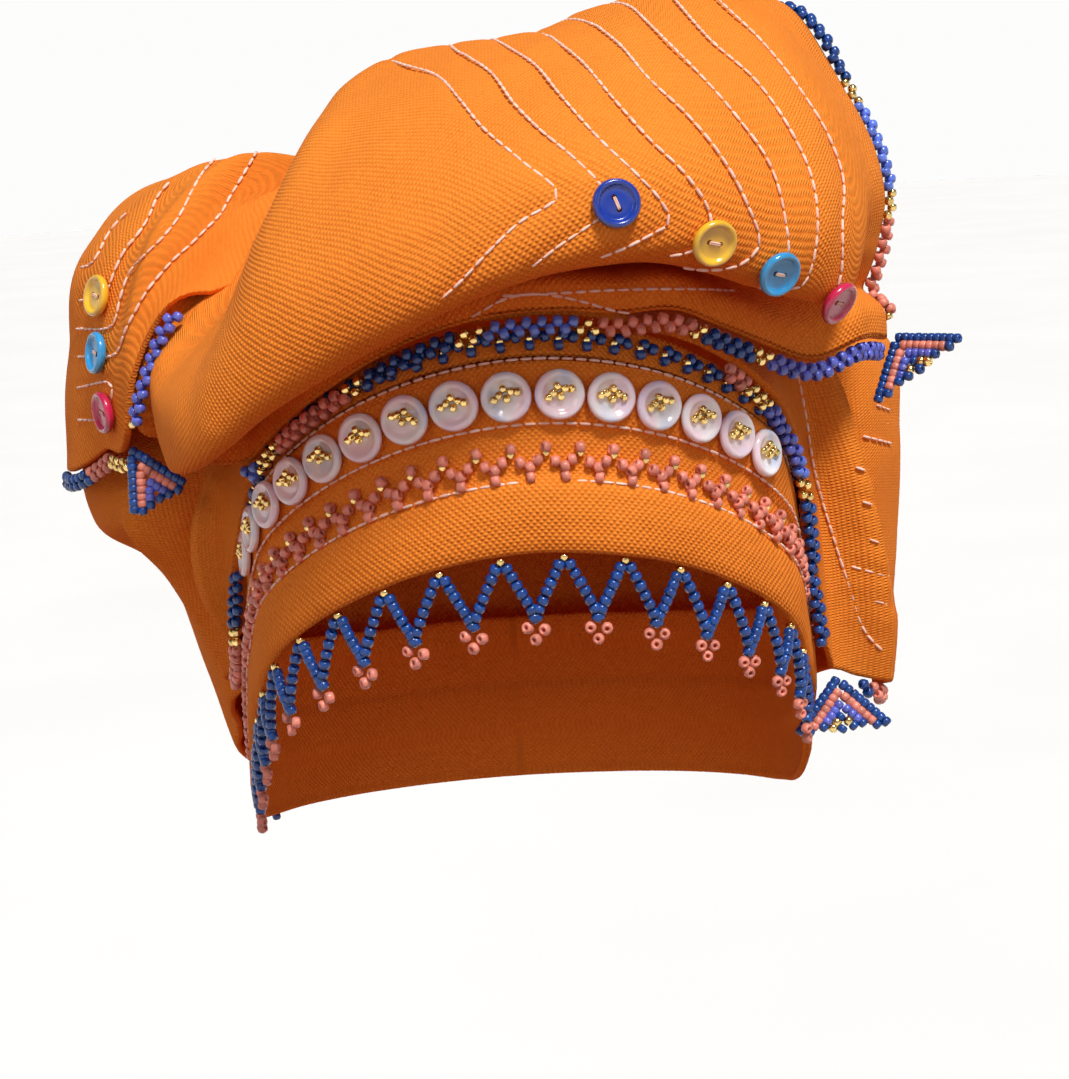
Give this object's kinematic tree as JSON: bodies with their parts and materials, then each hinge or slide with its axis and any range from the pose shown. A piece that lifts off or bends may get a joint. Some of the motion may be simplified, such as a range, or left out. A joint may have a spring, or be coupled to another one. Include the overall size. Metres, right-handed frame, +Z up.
{
  "type": "beaded head wrap",
  "caption": "Ready-made cloth head wrap in worn form: headband with bead fringe and pearl buttons, wound cloth, tall front roll and side wing with beaded edges.",
  "frame": {"origin": "top of the wearer's head, where the wrap sits on it", "axes": "+Z up out of the head, the face looks along -Y, +X is the viewer's right"},
  "size_m": [0.226, 0.2383, 0.23],
  "materials": {
    "orange": "matt coarse canvas",
    "navy": "opaque glossy seed beads",
    "periwinkle": "opaque glossy seed beads",
    "salmon": "opaque glossy seed beads",
    "pearl": "pearly sheen",
    "yellow": "glossy",
    "sky": "glossy",
    "rose": "glossy"
  },
  "bodies": {
    "root": {"headband": "orange", "wound_cloth": "orange", "front_roll": "orange", "side_wing": "orange", "pearl_button_01": "pearl", "pearl_button_02": "pearl", "pearl_button_03": "pearl", "pearl_button_04": "pearl", "pearl_button_05": "pearl", "pearl_button_06": "pearl", "pearl_button_07": "pearl", "pearl_button_08": "pearl", "pearl_button_09": "pearl", "pearl_button_10": "pearl", "pearl_button_11": "pearl", "pearl_button_12": "pearl", "pearl_button_13": "pearl", "pearl_button_14": "pearl", "pearl_button_15": "pearl", "roll_button_navy": "navy", "roll_button_yellow": "yellow", "roll_button_sky": "sky", "roll_button_rose": "rose", "wing_button_yellow": "yellow", "wing_button_sky": "sky", "wing_button_rose": "rose", "roll_edge_beads": "navy", "left_edge_beads": "navy", "second_edge_beads": "periwinkle", "panel_hem_beads": "navy", "wing_edge_beads": "periwinkle", "side_wing_edge_beads": "periwinkle", "side_wing_hem_beads": "salmon", "bead_fringe": "navy", "wing_tab": "navy", "side_wing_tab": "navy", "panel_tab": "navy", "nape_tab": "navy"}
  },
  "joints": []
}
